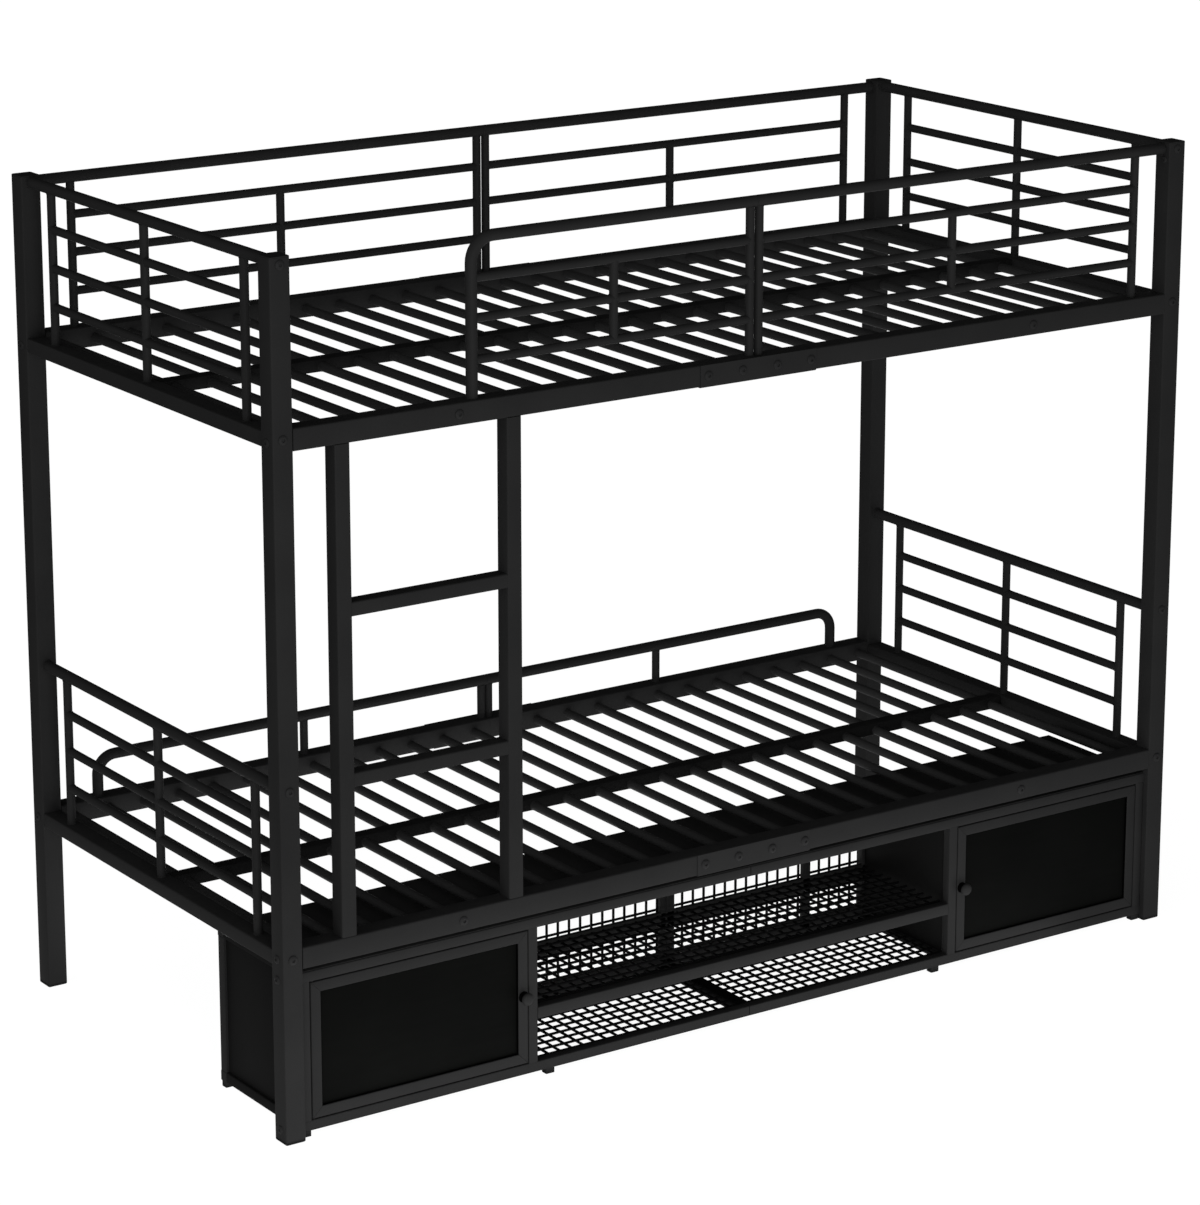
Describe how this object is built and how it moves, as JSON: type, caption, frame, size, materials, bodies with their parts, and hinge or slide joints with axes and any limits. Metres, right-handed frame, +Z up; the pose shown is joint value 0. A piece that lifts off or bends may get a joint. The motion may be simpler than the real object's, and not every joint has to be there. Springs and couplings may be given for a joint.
{
  "type": "bunk bed",
  "caption": "Black metal bunk bed with slatted decks, tube guards, a front ladder and a low cabinet with doors and mesh shelves between its front posts.",
  "frame": {"origin": "floor level, at the middle of the bounding box", "axes": "+Z up, +X along the bed to the right as seen from the front, -Y towards the front with the ladder and the cabinet"},
  "size_m": [2.08, 0.991, 1.626],
  "materials": {
    "frame_coat": "satin black powder coat",
    "slat_coat": "satin black powder coat",
    "sheet_coat": "satin black powder coat on sheet",
    "panel_coat": "matte black sheet",
    "wire_coat": "satin black coat on welded wire",
    "black_plastic": "moulded black plastic"
  },
  "bodies": {
    "bed": {"post_front_left": "frame_coat", "post_cap_front_left": "black_plastic", "post_foot_front_left": "black_plastic", "post_rear_left": "frame_coat", "post_cap_rear_left": "black_plastic", "post_foot_rear_left": "black_plastic", "post_front_right": "frame_coat", "post_cap_front_right": "black_plastic", "post_foot_front_right": "black_plastic", "post_rear_right": "frame_coat", "post_cap_rear_right": "black_plastic", "post_foot_rear_right": "black_plastic", "upper_front_rail_left": "frame_coat", "upper_front_rail_right": "frame_coat", "upper_front_splice": "frame_coat", "upper_rear_rail_left": "frame_coat", "upper_rear_rail_right": "frame_coat", "upper_rear_splice": "frame_coat", "lower_front_rail_left": "frame_coat", "lower_front_rail_right": "frame_coat", "lower_front_splice": "frame_coat", "lower_rear_rail_left": "frame_coat", "lower_rear_rail_right": "frame_coat", "lower_rear_splice": "frame_coat", "upper_left_end_panel": "frame_coat", "upper_right_end_panel": "frame_coat", "lower_left_end_panel": "frame_coat", "lower_right_end_panel": "frame_coat", "upper_rear_guard_left": "frame_coat", "upper_rear_guard_right": "frame_coat", "upper_front_guard_right": "frame_coat", "upper_front_guard_left": "frame_coat", "lower_rear_guard_left": "frame_coat", "lower_rear_guard_right": "frame_coat", "upper_deck_left": "slat_coat", "upper_deck_right": "slat_coat", "lower_deck_left": "slat_coat", "lower_deck_right": "slat_coat", "ladder": "frame_coat", "cabinet_front_frame_left": "frame_coat", "cabinet_front_frame_right": "frame_coat", "cabinet_rear_frame_left": "frame_coat", "cabinet_rear_frame_right": "frame_coat", "cabinet_side_left": "sheet_coat", "cabinet_side_right": "sheet_coat", "bay_side_left": "sheet_coat", "bay_side_right": "sheet_coat", "left_box_tray": "sheet_coat", "right_box_tray": "sheet_coat", "cabinet_top_sheet": "sheet_coat", "bay_floor_mesh": "wire_coat", "bay_shelf": "wire_coat", "bay_back_mesh": "wire_coat"},
    "left_door": {"left_door_frame": "frame_coat", "left_door_panel": "panel_coat", "left_door_knob": "frame_coat"},
    "right_door": {"right_door_frame": "frame_coat", "right_door_panel": "panel_coat", "right_door_knob": "frame_coat"}
  },
  "joints": [
    {"name": "left_door_hinge", "type": "hinge", "parent": "bed", "child": "left_door", "pos_m": [-0.9722, -0.4648, 0.1645], "axis": [0, 0, -1], "range_deg": [0, 105]},
    {"name": "right_door_hinge", "type": "hinge", "parent": "bed", "child": "right_door", "pos_m": [0.9722, -0.4648, 0.1645], "axis": [0, 0, 1], "range_deg": [0, 105]}
  ]
}
